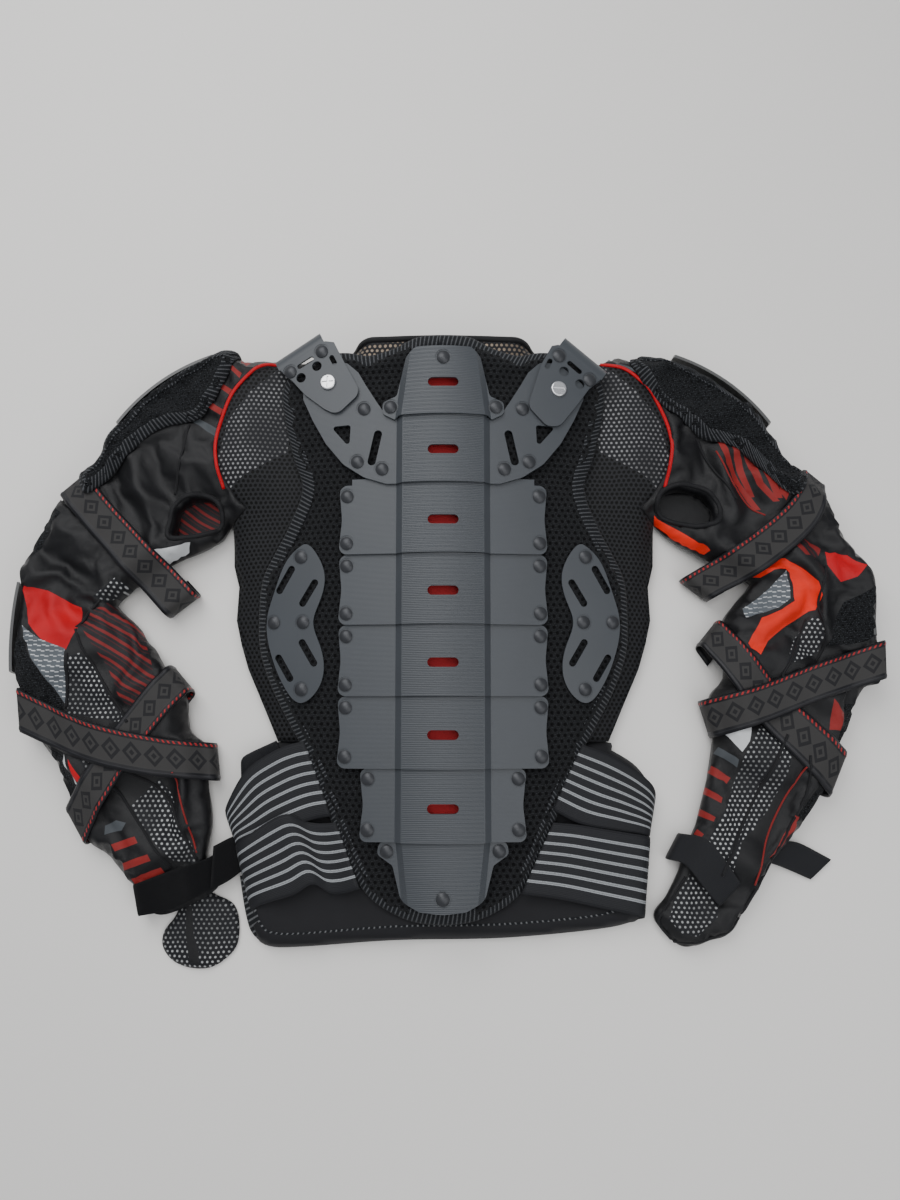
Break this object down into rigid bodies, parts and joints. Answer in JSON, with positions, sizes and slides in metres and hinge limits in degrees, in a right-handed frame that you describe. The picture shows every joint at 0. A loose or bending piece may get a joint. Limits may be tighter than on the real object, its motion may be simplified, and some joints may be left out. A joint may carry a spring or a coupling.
{
  "type": "body armour jacket",
  "caption": "Mesh jacket with a lapped spine plate back protector, kidney belt, shoulder and elbow cups and strapped sleeves, lying face down.",
  "frame": {"origin": "on the floor under the middle of the jacket", "axes": "+Z out of the back, +Y towards the collar, +X towards the wearer's right arm"},
  "size_m": [0.8738, 0.6306, 0.1044],
  "materials": {
    "plate": "satin, finely ribbed slate grey moulded plastic",
    "shell": "satin grey moulded plastic",
    "rivet": "dark graphite domed rivet",
    "screw": "zinc plated",
    "pad": "heathered black quilted textile",
    "binding": "black woven binding",
    "liner": "red liner",
    "mesh": "black open mesh",
    "elastic": "black elastic",
    "band": "black elastic with silver stripes",
    "sleeve": "black stretch fabric with red and grey panels",
    "strap": "dark grey webbing with black rubber edges",
    "webbing": "black webbing with hook-and-loop"
  },
  "bodies": {
    "torso": {"back_mesh": "mesh", "back_pad": "pad", "back_pad_border": "binding", "belt_band_lower_left": "band", "belt_band_lower_right": "band", "belt_band_upper_left": "band", "belt_band_upper_right": "band", "chest_plate_left": "shell", "chest_plate_right": "shell", "collar_binding": "binding", "front_mesh": "mesh", "kidney_belt": "elastic", "red_liner": "liner", "side_plate_left": "plate", "side_plate_right": "plate", "side_plate_rivets": "rivet", "spine_plate_2": "plate", "spine_rivets_2": "rivet", "zip_tape": "binding"},
    "upper_arm_left": {"arm_strap_left": "strap", "shoulder_cup_left": "shell", "shoulder_pad_left": "pad", "upper_sleeve_left": "sleeve"},
    "upper_arm_right": {"arm_strap_right": "strap", "shoulder_cup_right": "shell", "shoulder_pad_right": "pad", "upper_sleeve_right": "sleeve"},
    "forearm_left": {"elbow_cup_left": "shell", "elbow_strap_lower_left": "strap", "elbow_strap_upper_left": "strap", "forearm_sleeve_left": "sleeve", "hand_loop_left": "mesh", "wrist_strap_left": "webbing"},
    "forearm_right": {"elbow_cup_right": "shell", "elbow_strap_lower_right": "strap", "elbow_strap_upper_right": "strap", "forearm_sleeve_right": "sleeve", "wrist_strap_right": "webbing"},
    "strap_left": {"shoulder_screw_left": "screw", "shoulder_strap_left": "plate", "shoulder_strap_rivets_left": "rivet"},
    "strap_right": {"shoulder_screw_right": "screw", "shoulder_strap_right": "plate", "shoulder_strap_rivets_right": "rivet"},
    "spine_1": {"spine_plate_1": "plate", "spine_rivets_1": "rivet"},
    "spine_3": {"spine_plate_3": "plate", "spine_rivets_3": "rivet"},
    "spine_4": {"spine_plate_4": "plate", "spine_rivets_4": "rivet"},
    "spine_5": {"spine_plate_5": "plate", "spine_rivets_5": "rivet"},
    "spine_6": {"spine_plate_6": "plate", "spine_rivets_6": "rivet"},
    "spine_7": {"spine_plate_7": "plate", "spine_rivets_7": "rivet"},
    "spine_8": {"spine_plate_8": "plate", "spine_rivets_8": "rivet"},
    "zip_slider": {"zip_slider": "screw"}
  },
  "joints": [
    {"name": "spine_1_lift", "type": "hinge", "parent": "torso", "child": "spine_1", "pos_m": [0, 0.28527, 0.09149], "axis": [-1, 0, 0], "range_deg": [0, 4]},
    {"name": "spine_3_lift", "type": "hinge", "parent": "torso", "child": "spine_3", "pos_m": [0, 0.15002, 0.07728], "axis": [-1, 0, 0], "range_deg": [0, 4]},
    {"name": "spine_4_lift", "type": "hinge", "parent": "torso", "child": "spine_4", "pos_m": [0, 0.08139, 0.07006], "axis": [-1, 0, 0], "range_deg": [0, 4]},
    {"name": "spine_5_lift", "type": "hinge", "parent": "torso", "child": "spine_5", "pos_m": [0, 0.01277, 0.06285], "axis": [-1, 0, 0], "range_deg": [0, 4]},
    {"name": "spine_6_lift", "type": "hinge", "parent": "torso", "child": "spine_6", "pos_m": [0, -0.05585, 0.05564], "axis": [-1, 0, 0], "range_deg": [0, 4]},
    {"name": "spine_7_lift", "type": "hinge", "parent": "torso", "child": "spine_7", "pos_m": [0, -0.12447, 0.04843], "axis": [-1, 0, 0], "range_deg": [0, 4]},
    {"name": "spine_8_lift", "type": "hinge", "parent": "torso", "child": "spine_8", "pos_m": [0, -0.19309, 0.04121], "axis": [-1, 0, 0], "range_deg": [0, 4]},
    {"name": "strap_left_turn", "type": "hinge", "parent": "torso", "child": "strap_left", "pos_m": [-0.114, 0.25525, 0.07561], "axis": [-0.1629, -0.0534, 0.9852], "range_deg": [-12, 12]},
    {"name": "strap_right_turn", "type": "hinge", "parent": "torso", "child": "strap_right", "pos_m": [0.114, 0.24826, 0.07523], "axis": [0.1629, -0.0534, 0.9852], "range_deg": [-12, 12]},
    {"name": "zip_slide", "type": "slide", "parent": "torso", "child": "zip_slider", "axis": [0, -1, 0], "range_m": [0, 0.29]},
    {"name": "shoulder_left_swing", "type": "hinge", "parent": "torso", "child": "upper_arm_left", "pos_m": [-0.15, 0.205, 0.023], "axis": [0, 0, -1], "range_deg": [0, 20]},
    {"name": "elbow_left_bend", "type": "hinge", "parent": "upper_arm_left", "child": "forearm_left", "pos_m": [-0.372, 0.056, 0.018], "axis": [0, 0, -1], "range_deg": [0, 30]},
    {"name": "shoulder_right_swing", "type": "hinge", "parent": "torso", "child": "upper_arm_right", "pos_m": [0.15, 0.205, 0.023], "axis": [0, 0, 1], "range_deg": [0, 20]},
    {"name": "elbow_right_bend", "type": "hinge", "parent": "upper_arm_right", "child": "forearm_right", "pos_m": [0.372, 0.056, 0.018], "axis": [0, 0, 1], "range_deg": [0, 30]}
  ]
}
